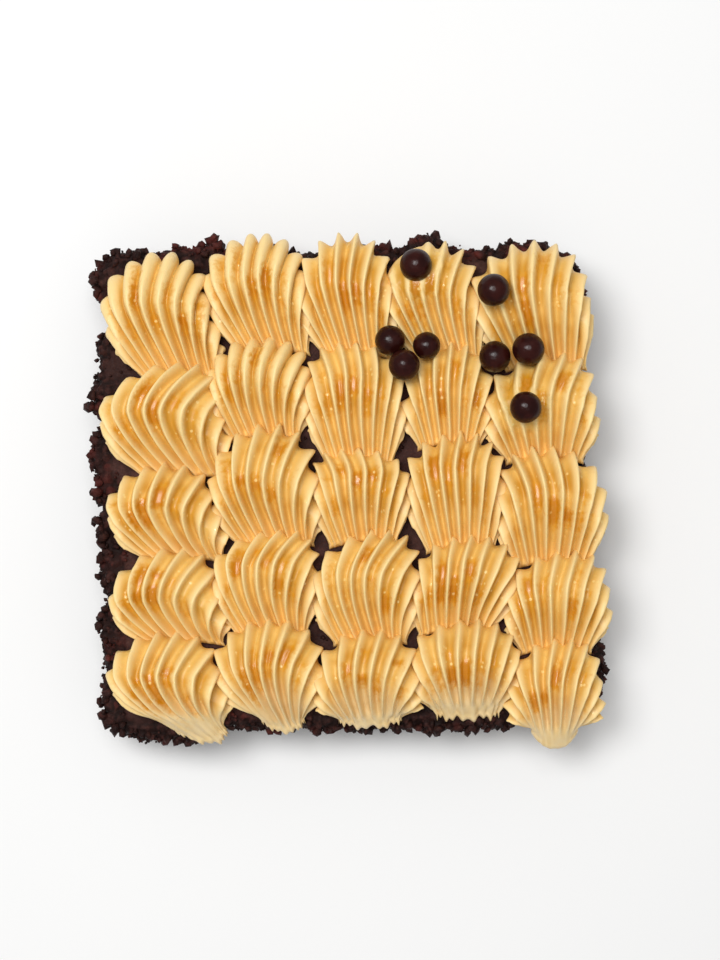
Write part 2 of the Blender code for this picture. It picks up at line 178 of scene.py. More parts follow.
# Shells by row from the far side and by column from the left, in millimetres: place, half width, reach of
# the head in front and of the flanks behind, and how far head and tail swing to the right. Then the ribs'
# phase (0 for a crest in the middle, 0.5 for a flute), how far crests stand out at the rim, and how far the
# ribs bend.
Shell = namedtuple("Shell", "x y half_width reach back head_swing tail_swing phase ends bend")
PIPING = (
    (
        Shell(-55.7, 56.5, 16.7, 15.6, 18.7, 2.1, 5.7, 0.5, 1.0, 1.0),
        Shell(-26.1, 63.0, 15.8, 13.8, 17.1, 1.4, 4.2, 0.5, 1.0, 1.2),
        Shell(0.2, 60.6, 15.1, 16.2, 17.1, 1.5, 3.2, 0.5, 1.0, 0.3),
        Shell(26.0, 57.6, 15.2, 15.6, 15.9, 2.2, 4.1, 0.5, 1.0, 0.8),
        Shell(54.8, 57.2, 18.0, 15.4, 12.6, 2.3, 4.5, 0.0, 0.9, 0.0),
    ),
    (
        Shell(-55.2, 24.6, 18.4, 14.7, 13.7, 6.1, 5.8, 0.0, 0.7, 4.0),
        Shell(-25.6, 35.2, 15.6, 10.9, 18.4, 1.1, 0.8, 0.5, 1.0, 2.2),
        Shell(2.5, 32.1, 15.0, 12.2, 18.5, -2.1, 0.8, 0.5, 0.7, 0.3),
        Shell(30.5, 28.3, 13.9, 15.3, 14.7, 1.1, -0.1, 0.0, 0.8, 0.5),
        Shell(57.5, 25.1, 17.2, 14.5, 14.5, 4.5, 1.1, 0.5, 0.8, 0.0),
    ),
    (
        Shell(-55.4, -3.8, 16.9, 13.4, 13.2, 1.3, 5.2, 0.0, 0.7, 3.2),
        Shell(-25.1, 3.2, 16.9, 17.4, 17.9, 2.0, 2.5, 0.5, 1.0, 2.2),
        Shell(3.4, 3.9, 15.0, 8.6, 13.4, -2.9, 0.4, 0.5, 0.7, 0.8),
        Shell(31.8, 5.2, 15.2, 11.5, 19.6, 1.9, 1.0, 0.0, 1.0, 0.3),
        Shell(60.1, -2.8, 16.7, 14.5, 16.2, -2.4, -0.1, 0.5, 0.9, 0.0),
    ),
    (
        Shell(-55.2, -30.9, 17.0, 15.5, 12.0, 3.0, 4.3, 0.5, 0.7, 3.4),
        Shell(-25.2, -21.9, 16.1, 10.8, 16.8, 4.7, 0.9, 0.0, 0.7, 2.6),
        Shell(4.9, -25.6, 16.3, 13.7, 17.4, 4.5, 0.3, 0.5, 0.9, 3.0),
        Shell(35.0, -24.5, 15.8, 10.2, 16.4, 1.2, -4.0, 0.0, 0.7, 2.0),
        Shell(61.4, -32.0, 15.8, 12.5, 14.9, 2.8, -0.6, 0.5, 0.7, 0.5),
    ),
    (
        Shell(-56.3, -53.2, 17.2, 13.0, 13.0, 1.7, 11.9, 0.5, 0.7, 4.0),
        Shell(-25.2, -50.6, 16.9, 13.1, 14.6, 0.7, 4.3, 0.0, 0.7, 2.2),
        Shell(4.1, -55.7, 16.5, 14.5, 13.4, 1.7, 0.6, 0.5, 0.7, 1.5),
        Shell(33.3, -49.9, 16.8, 10.8, 15.7, 1.3, 0.6, 0.5, 0.7, 0.5),
        Shell(59.7, -59.5, 14.8, 14.1, 14.3, 2.9, 0.2, 0.5, 0.7, 0.3),
    ),
)
# Shells whose ribs are broad and round on the head, by row and column
ROUND_HEADS = ((0, 0), (0, 1), (1, 1))
ROUND_UP_TO = (0.15, 0.8)

# Tails of the near row, which no head covers: length and half width in millimetres, how round their ends are,
# where along them the ribs fade out, and how ragged their ends are in millimetres
FreeTail = namedtuple("FreeTail", "length half_width roundness fade ragged")
FREE_TAILS = (
    FreeTail(20.5, 8.0, 0.5, (0.45, 0.75), 0.7),
    FreeTail(20.4, 6.5, 0.5, (0.80, 1.05), 0.7),
    FreeTail(14.6, 9.5, 0.2, (0.70, 0.95), 0.9),
    FreeTail(18.6, 9.5, 0.1, (0.65, 0.90), 1.1),
    FreeTail(18.5, 7.0, 0.7, (0.60, 0.85), 0.1),
)

# How quickly the marks of one side give way to those of the next round a corner
CORNER_BLEND = 4

# How far the torn edge stands out of the true square or falls short of it, in millimetres: place along the
# side, and how far out. Sides are named as seen from above.
EDGE_MARKS = {
    "left": (
        (-73, 0.5), (-69, 1.0), (-62, 0.6), (-53, -0.8), (-46, -0.6), (-39, 0.9), (-30, -3.0), (-24, 0.5),
        (-17, -1.8), (-8, 0.4), (-3, -0.8), (1, 1.7), (7, 1.2), (12, 2.6), (17, 1.8), (21, -3.8), (26, 3.1),
        (31, 0.9), (35, 0.7), (39, -1.9), (44, 0.2), (47, 0.6), (51, -5.2), (56, -2.6), (60, -0.6), (66, 1.6),
        (69, -0.4), (73, -1.6),
    ),
    "far": (
        (-75, -2.4), (-70, -0.8), (-67, 1.2), (-60, 0.2), (-54, 0.7), (-48, 1.4), (-42, 2.2), (-38, 4.3),
        (-34, 0.4), (-28, -1.0), (-22, 2.6), (-16, -0.4), (-8, -1.2), (4, -1.0), (12, 0.1), (16, -0.8),
        (23, 1.6), (28, 3.9), (32, 0.6), (36, -0.6), (40, -1.4), (46, -1.4), (52, 0.8), (55, 0.2), (59, 0.7),
        (65, -2.8), (72, -5.0),
    ),
    "right": (
        (-73, -3.6), (-69, -1.8), (-64, -0.2), (-59, 1.7), (-53, 1.2), (-48, 1.8), (-43, -0.4), (-30, -0.8),
        (-20, -1.6), (-13, -1.0), (0, -2.0), (10, -3.2), (20, -3.0), (28, -2.0), (36, -3.4), (46, -2.2),
        (53, -1.6), (60, -3.0), (68, -4.6), (72, -6.0),
    ),
    "near": (
        (-73, -1.4), (-70, 0.6), (-64, 1.6), (-58, 1.4), (-50, 2.2), (-44, 1.2), (-40, -1.0), (-30, -0.8),
        (-16, -0.6), (-4, 0.1), (8, -0.2), (16, 0.5), (26, 1.2), (36, 0.8), (46, 0.3), (54, -0.4), (64, -1.0),
        (73, -2.6),
    ),
}

# Loose crumbs: how many, how large, how squashed and how lumpy, how dark, and how many more are small
CRUMB_SEED = 11
RIM_CRUMBS = 1300
HOLE_CRUMBS = 420
CRUMB_RADII = (0.35 * MM, 1.9 * MM)
HOLE_CRUMB_MOST = 0.8 * MM
CRUMB_SQUASH = (0.7, 1.3)
CRUMB_LUMPS = 1.3
CRUMB_BUMP = 0.75
CRUMB_DEPTH = 0.25
CRUMB_SHADES = Lumps(1.2 * MM, 0.35)
RIM_MORE_SMALL = 2.2
GAP_MORE_SMALL = 2

# Where crumbs lie: how far down the sides, in from the edge in millimetres there and on the rim, and, in the
# gaps, how far clear of the shells' heads and how far out on the slab
CRUMB_FALL = 4.5 * MM
RIM_BAND = 2.2 * MM
SIDE_CRUMBS_IN = (-0.5, 1.0)
RIM_CRUMBS_IN = (0.2, 4.0)
RIM_SPOTS = 900
CLEAR_OF_SHELLS = 1.02
OUT_ON_SLAB = 0.47

# Pearls: how much smaller than the solid balls, and how deep and how many their broad and small dents are.
# Sizes are shares of a pearl's radius.
PEARLS = 8
PEARL_SHRUNK = 0.012
PEARL_DENTS = 0.02
DENTS_EACH_WAY = 1.4
PEARL_PITS = 0.004
PITS_EACH_WAY = 5.0

# Colours: buttercream, then brownie crumb and crust, then chocolate and the white surface
BUTTERCREAM = ((0.79, 0.485, 0.120), (0.88, 0.575, 0.165))
# Crests are made lighter with this colour: a painted highlight
CREST_PAINTED_HIGHLIGHT = (1.0, 0.745, 0.345)
# Flute bottoms darken towards this colour: partly caramel tint, partly painted shade
FLUTE_CARAMEL_AND_SHADE_COLOUR = (0.63, 0.300, 0.020)
PALE_COLOUR = (0.86, 0.66, 0.36)
CARAMEL_COLOURS = ((0.74, 0.345, 0.018), (0.62, 0.235, 0.006))
# Small caramel specks are mixed towards this light colour: a painted glint
BEAD_PAINTED_GLINT_COLOUR = (1.0, 0.76, 0.30)
CRUMB_COLOURS = ((0.013, 0.0042, 0.0035), (0.056, 0.0195, 0.0155))
RED_CRUMB = (0.135, 0.024, 0.019)
# Painted shade in the low lines of the torn crumb; loose crumbs take a little of it at random
CREVICE_SHADE_AND_DARK_CRUMB = (0.012, 0.006, 0.005)
CRUST_COLOURS = ((0.026, 0.0095, 0.0080), (0.096, 0.039, 0.032))
CRUST_SPECKS = (0.042, 0.0165, 0.0130)
CHOCOLATE_COLOURS = ((0.018, 0.0030, 0.0024), (0.036, 0.0062, 0.0044))
FLOOR_COLOURS = ((0.950, 0.950, 0.945), (0.970, 0.970, 0.965))

# Camera, as the photograph was taken: straight down, the slab turned a little in the frame
IMAGE_WIDTH = 720
IMAGE_HEIGHT = 960
CAMERA_HEIGHT = 0.6
METRES_PER_PIXEL = 0.30 * MM
SENSOR_HEIGHT = 24.0
SLAB_CENTRE_IN_IMAGE = (346, 489)
ROLL = math.radians(-1.5)

# Lights, all aimed at the slab, then the even light round them and half the floor's width
Light = namedtuple("Light", "name place size power")
LIGHTS = (
    Light("overhead", (-0.08, 0.20, 1.30), 0.70, 7.4),
    Light("window", (-0.28, 0.20, 0.92), 0.34, 3.4),
)
LIGHTS_AIM = (0.0, 0.0, 0.02)
EVEN_LIGHT = 0.31
FLOOR_HALF = 2.0


def link_object(name, mesh, material):
    obj = bpy.data.objects.new(name, mesh)
    bpy.context.scene.collection.objects.link(obj)
    mesh.materials.append(material)
    return obj


def add_attribute(mesh, name, values):
    attribute = mesh.attributes.new(name, "FLOAT", "POINT")
    attribute.data.foreach_set("value", np.asarray(values, np.float32).ravel())


def eased(values, low, high):
    """0 below low, 1 above high, and smooth between."""
    share = np.clip((values - low) / (high - low), 0, 1)
    return share * share * (3 - 2 * share)


def noise_at(points, spacing, shift=0.0):
    """Smooth noise from about -1 to 1 at each point."""
    offset = Vector((shift, shift * 0.7, -shift))
    values = [noise.noise(Vector(point) / spacing + offset) for point in points.reshape(-1, 3)]
    return np.array(values).reshape(points.shape[:-1]) * 1.5


def lumps_at(points, lumps, shift):
    """How far soft lumps stand out at each point."""
    return noise_at(points, lumps.spacing, shift) * lumps.height


def read_vectors(items, name):
    """Vectors of a mesh's points, a row for each."""
    values = np.empty(len(items) * 3, np.float32)
    items.foreach_get(name, values)
    return values.reshape(-1, 3).astype(float)


class Nodes:
    """A material's node tree, with short calls to add and join nodes."""

    def __init__(self, name):
        self.material = bpy.data.materials.new(name)
        self.material.use_nodes = True
        self.tree = self.material.node_tree
        self.shader = self.tree.nodes["Principled BSDF"]

    def add(self, kind, settings=None, **inputs):
        node = self.tree.nodes.new(kind)
        for key, value in (settings or {}).items():
            setattr(node, key, value)
        for key, value in inputs.items():
            self.join(value, node.inputs[key.replace("_", " ")])
        return node

    def join(self, value, socket):
        if isinstance(value, bpy.types.NodeSocket):
            self.tree.links.new(value, socket)
        else:
            socket.default_value = value

    def attribute(self, name):
        return self.add("ShaderNodeAttribute", {"attribute_name": name}).outputs["Fac"]

    def place(self):
        return self.add("ShaderNodeTexCoord").outputs["Object"]

    def noise(self, scale, detail=2.0, roughness=0.5):
        return self.add(
            "ShaderNodeTexNoise", Vector=self.place(), Scale=scale, Detail=detail, Roughness=roughness
        ).outputs["Fac"]

    def voronoi(self, scale, feature="F1"):
        return self.add(
            "ShaderNodeTexVoronoi", {"feature": feature}, Vector=self.place(), Scale=scale
        ).outputs["Distance"]

    def spread(self, value, low, high, to_low=0.0, to_high=1.0):
        node = self.add("ShaderNodeMapRange", {"interpolation_type": "SMOOTHSTEP"})
        for socket, number in zip(node.inputs[:5], (value, low, high, to_low, to_high)):
            self.join(number, socket)
        return node.outputs["Result"]

    def maths(self, operation, first, second=0.0):
        node = self.add("ShaderNodeMath", {"operation": operation})
        self.join(first, node.inputs[0])
        self.join(second, node.inputs[1])
        return node.outputs["Value"]

    def mix(self, share, first, second):
        node = self.add("ShaderNodeMix", {"data_type": "RGBA"})
        self.join(share, node.inputs["Factor"])
        for socket, value in ((node.inputs[6], first), (node.inputs[7], second)):
            self.join((*value, 1.0) if isinstance(value, tuple) else value, socket)
        return node.outputs[2]

    def bump(self, height, distance, strength=1.0, normal=None):
        node = self.add("ShaderNodeBump", Height=height, Distance=distance, Strength=strength)
        if normal is not None:
            self.join(normal, node.inputs["Normal"])
        return node.outputs["Normal"]

    def finish(self, **inputs):
        for key, value in inputs.items():
            self.join(value, self.shader.inputs[key.replace("_", " ")])
        return self.material


def buttercream_material():
    """Satin caramel buttercream with a painted highlight on its crests, pale on flanks and tails.

    Amber caramel lies in its flutes, which also take a darker tint that is partly caramel and partly painted
    shade, and small glossy specks with painted glints are strewn over its middle.
    """
    n = Nodes("caramel_buttercream")
    rib, along, caramel, cream = (n.attribute(name) for name in ("rib", "along", "caramel", "cream"))
    cloud = n.noise(160.0, 3.0)
    drift = n.noise(70.0, 2.0)
    grain = n.noise(2600.0, 3.0, 0.6)
    smear = n.noise(480.0, 3.0, 0.6)
    body = n.mix(n.spread(cloud, 0.25, 0.75), *BUTTERCREAM)
    # Painted highlight: the crests are mixed towards a lighter colour
    body = n.mix(n.spread(rib, 0.2, 0.95, 0.0, 0.85), body, CREST_PAINTED_HIGHLIGHT)
    middle = n.maths("MULTIPLY", n.spread(along, 0.04, 0.2), n.spread(along, 0.55, 0.95, 1.0, 0.0))
    # Partly caramel tint and partly painted shade in the bottoms of the flutes, over the shell's middle
    hollow = n.maths("MULTIPLY", n.spread(rib, 0.05, 0.7, 1.0, 0.0), middle)
    caramel_and_shade_stain = n.maths("MULTIPLY", hollow, n.spread(drift, 0.4, 0.62, 0.1, 0.9))
    body = n.mix(caramel_and_shade_stain, body, FLUTE_CARAMEL_AND_SHADE_COLOUR)
    pale = n.maths("MULTIPLY", cream, n.spread(cloud, 0.3, 0.7, 0.6, 1.0))
    body = n.mix(pale, body, PALE_COLOUR)
    wet = n.spread(n.maths("ADD", caramel, n.spread(smear, 0.3, 0.7, -0.26, 0.26)), 0.1, 0.95)
    amber = n.mix(n.spread(caramel, 0.45, 1.0), *CARAMEL_COLOURS)
    colour = n.mix(wet, body, amber)
    # Small glossy beads: real bumps in the coat, and a painted glint mixed into the colour
    beads_and_painted_glints = n.maths("MULTIPLY", n.spread(n.voronoi(400.0), 0.12, 0.24, 1.0, 0.0), middle)
    beads_and_painted_glints = n.maths("MULTIPLY", beads_and_painted_glints, n.spread(n.noise(150.0), 0.42, 0.52))
    colour = n.mix(n.maths("MULTIPLY", beads_and_painted_glints, 0.75), colour, BEAD_PAINTED_GLINT_COLOUR)
    pits = n.spread(n.voronoi(420.0), 0.05, 0.16)
    skin = n.bump(grain, 0.05 * MM)
    skin = n.bump(pits, 0.12 * MM, 0.5, skin)
    gloss = n.bump(beads_and_painted_glints, 0.15 * MM, 1.0, n.bump(n.noise(900.0, 2.0, 0.6), 0.5 * MM))
    return n.finish(
        Base_Color=colour,
        Roughness=n.spread(wet, 0.0, 1.0, 0.45, 0.3),
        Subsurface_Weight=0.09,
        Subsurface_Radius=(1.0, 0.8, 0.4),
        Subsurface_Scale=1.0 * MM,
        Normal=skin,
        Coat_Weight=n.maths("MAXIMUM", n.spread(wet, 0.35, 0.9, 0.0, 0.5), beads_and_painted_glints),
        Coat_Roughness=0.1,
        Coat_Normal=gloss,
    )


def brownie_material():
    """Dark open crumb on the cut sides and rim, with painted shade in its low lines, and a thin matt crust
    over the top.
    """
    n = Nodes("brownie_crumb")
    crust = n.attribute("crust")
    depth = n.attribute("depth")
    lumps = n.noise(420.0, 4.0, 0.6)
    patches = n.noise(90.0, 2.0)
    crumb = n.mix(n.spread(lumps, 0.35, 0.68), *CRUMB_COLOURS)
    crumb = n.mix(n.spread(patches, 0.5, 0.68, 0.0, 0.6), crumb, RED_CRUMB)
    # Painted shade: the crumb darkens where it is torn low, between lumps; on loose crumbs it darkens some at
    # random
    crumb = n.mix(n.spread(depth, -0.6, 0.5, 0.75, 0.0), crumb, CREVICE_SHADE_AND_DARK_CRUMB)
    skin = n.mix(n.spread(patches, 0.3, 0.7), *CRUST_COLOURS)
    skin = n.mix(n.spread(lumps, 0.38, 0.66), skin, CRUST_SPECKS)
    colour = n.mix(crust, crumb, skin)
    fine = n.noise(1500.0, 4.0, 0.65)
    normal = n.bump(fine, 0.3 * MM)
    return n.finish(
        Base_Color=colour,
        Roughness=n.spread(fine, 0.3, 0.7, 0.45, 0.8),
        Specular_IOR_Level=0.14,
        Normal=normal,
    )


def chocolate_material():
    """Dark chocolate shell of the pearls, with a soft uneven shine."""
    n = Nodes("dark_chocolate")
    cloud = n.noise(260.0, 3.0)
    colour = n.mix(n.spread(cloud, 0.3, 0.7), *CHOCOLATE_COLOURS)
    dents = n.bump(n.noise(420.0, 2.0), 0.35 * MM)
    normal = n.bump(n.noise(3800.0, 2.0), 0.03 * MM, 1.0, dents)
    return n.finish(
        Base_Color=colour,
        Roughness=n.spread(cloud, 0.3, 0.7, 0.3, 0.42),
        Specular_IOR_Level=0.08,
        Normal=normal,
        Coat_Weight=0.22,
        Coat_Roughness=0.12,
    )


def floor_material():
    n = Nodes("white_surface")
    tone = n.noise(3.0, 2.0)
    colour = n.mix(n.spread(tone, 0.3, 0.7), *FLOOR_COLOURS)
    return n.finish(Base_Color=colour, Roughness=0.7, Specular_IOR_Level=0.2)


def is_near_row(row):
    """The near row's tails lie free, as no head is piped over them."""
    return row + 1 == len(PIPING)


def tail_length(row, column):
    """A tail runs on a little under the head of the shell piped over it."""
    if is_near_row(row):
        return FREE_TAILS[column].length * MM
    shell, after = PIPING[row][column], PIPING[row + 1][column]
    return (shell.y - after.y - after.reach) * MM + TAIL_UNDER_NEXT


def rib_profile(u, t, row, column):
    """Height across the ribs: 1 on the crests, 0 in the bottom of the flutes.

    Flutes are round and crests narrow, but for heads whose ribs are broad and round in front.
    """
    across = u - PIPING[row][column].phase
    least, most = CREST_ROUNDING, math.hypot(1, CREST_ROUNDING)
    narrow = (most - np.hypot(np.sin(math.pi * across), CREST_ROUNDING)) / (most - least)
    if (row, column) not in ROUND_HEADS:
        return narrow
    broad = (0.5 + 0.5 * np.cos(2 * math.pi * across)) ** ROUND_HOLLOW
    return broad + (narrow - broad) * eased(t, *ROUND_UP_TO)


def smooth_form(row, column, psi, t):
    """The shell without its ribs. psi runs round the rim of its head, 0 at the front.

    t runs from -1 at the foot to 0 at the widest line, back over the crown to 1 at the tail's end, and down
    its cap to 2.
    """
    shell = PIPING[row][column]
    last = is_near_row(row)
    free = FREE_TAILS[column]
    half_tail = free.half_width * MM if last else shell.half_width * MM * TAIL_TO_HALF_WIDTH
    tail_height = LAST_TAIL_HEIGHT if last else TAIL_HEIGHT
    sides_longer = -free.roundness * half_tail if last else TAIL_SIDES_LONGER
    tip = abs(shell.ends) * RIB_DEPTH_MOST / 2
    half_width = shell.half_width * MM - tip
    reach = shell.reach * MM - tip
    rear = shell.back * MM - tip
    height = shell.half_width * MM * HEIGHT_TO_HALF_WIDTH - RIB_DEPTH_MOST / 2
    length = tail_length(row, column)
    widest = math.radians(360 / TEETH) * RIBS_EACH_SIDE
    across = np.cos(psi / widest * math.pi / 2)

    behind = np.abs(psi) > math.pi / 2
    fullness = np.where(behind, FLANK_FULLNESS, 1.0)
    broad = half_width * (1 + FLANK_SPREAD * eased(np.abs(psi), FLANK_FROM, widest))
    rim_x = broad * np.sign(psi) * np.abs(np.sin(psi)) ** fullness
    rim_y = np.cos(psi) * np.where(behind, rear, reach)
    under = UNDERCUT_ANGLE * np.clip(t, -1, 0)
    shrink = 1 - UNDERCUT / half_width * (1 - np.cos(under)) / (1 - math.cos(UNDERCUT_ANGLE))
    back = np.clip(t, 0, 1)
    tail_x = half_tail * np.sign(psi) * np.abs(np.sin(psi / widest * math.pi / 2)) ** TAIL_CROWDING
    x = (1 - back) * rim_x * shrink + back * tail_x
    y = (1 - back) * rim_y * shrink - back * (length + sides_longer * (1 - across * across))

    rim_z = height * WIDEST_HEIGHT * (1 - FLANK_DROP * eased(np.abs(psi), FLANK_FROM, widest))
    arch = np.maximum(across, 0)
    crown_z = rim_z + (height - rim_z) * arch**CROWN_FULLNESS
    side = TAIL_SIDE_TO_MIDDLE
    tail_z = np.minimum(tail_height * (side + (1 - side) * arch**TAIL_FULLNESS), crown_z)
    rise = np.sqrt(1 - (1 - np.clip(back / CROWN_AT, 0, 1)) ** 2)
    fall = np.clip((back - CROWN_AT) / (1 - CROWN_AT), 0, 1) ** FALL_TO_TAIL
    z = np.where(back < CROWN_AT, rim_z + (crown_z - rim_z) * rise, crown_z + (tail_z - crown_z) * fall)
    z = np.where(t < 0, rim_z * (1 + np.sin(under) / math.sin(UNDERCUT_ANGLE)), z)
    cap = np.clip(t - 1, 0, 1) * math.pi / 2
    y = y - TAIL_CAP * np.sin(cap)
    z = z * np.where(t > 1, np.cos(cap), 1)
    if last:
        waves, slow_waves = TAIL_WAVES
        ragged = np.sin(waves * psi + 2 * column) * np.sin(slow_waves * psi - column)
        y = y + free.ragged * MM * ragged * back**4

    swing_front = shell.head_swing * MM * np.maximum(y / reach, 0) ** HEAD_SWING_LATE
    swing_back = shell.tail_swing * MM * np.maximum(-y / length, 0) ** TAIL_SWING_LATE
    nearness = (psi - BEND_SIDE) / BEND_SPREAD
    bent = shell.bend * MM * np.sin(back * math.pi) * np.exp(-nearness * nearness)
    return np.stack([x + swing_front + swing_back - bent, y, z], axis=-1)


def caramel_mask(row, column, u, t, draw):
    """Where caramel lies in the flutes: 1 in the middle of a pool and 0 where there is none."""
    shell = PIPING[row][column]
    flute = np.floor(u - shell.phase).astype(int)
    middle = (u - shell.phase) - flute - 0.5
    width = 1 - eased(np.abs(middle), *CARAMEL_BANKS)
    mask = np.zeros(u.shape)
    side = draw.uniform(-CARAMEL_SIDE, CARAMEL_SIDE)
    for number in range(-RIBS_EACH_SIDE - 1, RIBS_EACH_SIDE + 1):
        centre = number + 0.5 + shell.phase
        nearness = max(0.0, 1.0 - abs(centre - side) / CARAMEL_REACH)
        for _ in range(CARAMEL_POOLS):
            amount = min(1.0, nearness * draw.uniform(*CARAMEL_FULLNESS))
            start = draw.uniform(*CARAMEL_START)
            end = start + draw.uniform(*CARAMEL_LENGTH)
            if amount < CARAMEL_LEAST:
                continue
            run = eased(t, *np.add(start, CARAMEL_BEGINS)) * (1 - eased(t, *np.add(end, CARAMEL_ENDS)))
            mask = np.maximum(mask, np.where(flute == number, amount * run * width, 0))
    return mask


def pressed_by_pearls(points):
    """How near each point is to a pressed pearl, 1 under it and 0 away from it, and how much it has risen."""
    near, rise = np.zeros(points.shape[:-1]), np.zeros(points.shape[:-1])
    for number, reach, most in PRESSED:
        low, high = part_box(f"pearl_{number}")
        middle, radius = (low + high) / 2, (high.z - low.z) / 2
        away = np.hypot(points[..., 0] - middle.x, points[..., 1] - middle.y) / (reach * radius)
        share = np.exp(-(away**4))
        near = np.maximum(near, share)
        rise = np.maximum(rise, share * most)
    return near, rise


def cream_share(row, u, t):
    """How pale the buttercream is: most on free tails, less on the flanks, and a little on other tails."""
    flanks = CREAM_ON_FLANKS * eased(np.abs(u), *FLANK_RIBS) * eased(t, *CREAM_ALONG_FLANKS)
    if is_near_row(row):
        return np.maximum(flanks, eased(t, *CREAM_ALONG_FREE_TAILS))
    return np.maximum(flanks, CREAM_ON_TAILS * eased(t, *CREAM_ALONG_TAILS))


def shell_grid():
    """Which rib each point is on, counted from the front, and how far along it, in rows from foot to tail."""
    steps = RIBS_EACH_SIDE * STEPS_EACH_RIB
    ribs = np.arange(-steps, steps + 1) / STEPS_EACH_RIB
    skirt = np.linspace(-1, 0, SKIRT_ROWS + 1)[:-1]
    top = np.linspace(0, 1, TOP_ROWS + 1) ** ROWS_CROWDED
    cap = 1 + np.linspace(0, 1, CAP_ROWS + 1)[1:]
    return np.meshgrid(ribs, np.concatenate([skirt, top, cap]))


def shell_seed(row, column):
    return 10.0 * row + column


def rib_depth(row, column, u, t, form, pitch):
    """How deep the flutes are: as their width allows, and less where the shell is low or its sides meet."""
    depth = np.minimum(RIB_TO_PITCH * pitch, RIB_DEPTH_MOST)
    depth = np.minimum(depth, RIB_TO_HEIGHT * form[..., 2] + RIB_DEPTH_MOST * (1 - eased(t, *LOW_TAIL_ZONE)))
    depth = depth * (1 - eased(t, 1, 2))
    depth = depth * (1 - eased(np.abs(u), *OUTER_RIBS) * eased(t, *CORNER_ZONE))
    depth = depth * (1 - eased(np.abs(u), *LAST_RIB) / 2)
    if is_near_row(row):
        run = -form[..., 1] / tail_length(row, column)
        depth = depth * (1 - eased(run, *FREE_TAILS[column].fade))
    each_rib = np.stack([np.round(u - PIPING[row][column].phase), t * UNEVEN_ALONG, u * 0], axis=-1)
    return depth * (1 + RIB_UNEVEN * noise_at(each_rib, 1.0, shell_seed(row, column) + 5))


def skin_relief(points, pressed, seed):
    """Small lumps in the buttercream's skin, and its torn edge round a pressed pearl."""
    torn = lumps_at(points, SKIN_TORN, seed + 3) * pressed * (1 - pressed)
    return lumps_at(points, SKIN_LUMPS, seed) + lumps_at(points, SKIN_PIMPLES, seed) + torn


def shell_points(row, column, place, u, t, filled):
    """Points of one shell about its own place, ribs and skin included, down to its flat foot."""
    shell = PIPING[row][column]
    seed = shell_seed(row, column)
    wander_at = np.stack([u / WANDER_OVER_RIBS, t * WANDER_ALONG, u * 0], axis=-1)
    wander = noise_at(wander_at, 1.0, seed) * RIB_WANDER
    straight = (u + wander * (1 - np.abs(u) / RIBS_EACH_SIDE)) * 360 / TEETH
    psi = np.radians(straight - SIDE_CROWDING * np.sin(np.radians(2 * straight)))
    form = smooth_form(row, column, psi, t)
    along_rim = smooth_form(row, column, psi + NUDGE, t) - smooth_form(row, column, psi - NUDGE, t)
    along_rib = smooth_form(row, column, psi, t + NUDGE) - smooth_form(row, column, psi, t - NUDGE)
    normal = np.cross(along_rib, along_rim)
    normal /= np.linalg.norm(normal, axis=-1, keepdims=True) + 1e-12

    pitch = np.linalg.norm(along_rim, axis=-1) / (2 * NUDGE) * math.radians(360 / TEETH)
    depth = rib_depth(row, column, u, t, form, pitch)
    out = (depth * (filled - 0.5))[..., None] * normal
    ends = shell.ends + (1 - shell.ends) * eased(t, 0, RIM_ZONE)
    out[..., :2] *= ends[..., None]
    pressed, rise = pressed_by_pearls(form + place)
    points = form + out * (1 - pressed)[..., None]
    raised = rise + skin_relief(points + place, pressed, seed)
    points += normal * (raised * eased(form[..., 2], 0, SKIN_FULL_AT))[..., None]

    points[0, :, 2] = points[-1, :, 2] = 0
    foot_left, foot_right = points[:, :1].copy(), points[:, -1:].copy()
    foot_left[..., 2] = foot_right[..., 2] = 0
    return np.concatenate([foot_left, points, foot_right], axis=1)


def closed_grid(rows, columns):
    """Faces over a grid of points, and one face under it from edge to edge."""
    index = np.arange(rows * columns).reshape(rows, columns)
    quads = np.stack([index[:-1, :-1], index[1:, :-1], index[1:, 1:], index[:-1, 1:]], axis=-1)
    edge = [*index[0, :], *index[1:, -1], *index[-1, -2::-1], *index[-2:0:-1, 0]]
    return [*quads.reshape(-1, 4).tolist(), [int(i) for i in edge]]


def shell_mesh(row, column, place, draw):
    """One shell at its place, fine enough for its crests to look sharp, with what its material reads."""
    u, t = shell_grid()
    rib = rib_profile(u, t, row, column)
    caramel = caramel_mask(row, column, u, t, draw)
    points = shell_points(row, column, place, u, t, np.maximum(rib, CARAMEL_THICKNESS * caramel))
    faces = closed_grid(*points.shape[:2])
    mesh = bpy.data.meshes.new(f"buttercream_{row + 1}_{column + 1}")
    mesh.from_pydata((points.reshape(-1, 3) + place).tolist(), [], faces)
    shares = {"rib": rib, "along": t, "caramel": caramel, "cream": cream_share(row, u, t)}
    for name, values in shares.items():
        add_attribute(mesh, name, np.pad(values, ((0, 0), (1, 1)), mode="edge"))
    mesh.shade_smooth()
    return mesh


def make_shells(material):
    for row in range(len(PIPING)):
        for column in range(len(PIPING[row])):
            shell = PIPING[row][column]
            draw = random.Random(100 * row + column)
            x, y = shell.x * MM + TOPPING_TO_RIGHT, shell.y * MM
            place = np.array((x, y, SLAB_HEIGHT + SHELL_LIFT - SHELL_SUNK))
            mesh = shell_mesh(row, column, place, draw)
            piece = link_object(mesh.name, mesh, material)
            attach(piece, "root")
            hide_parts(f"shell_{row + 1}_{column + 1}")


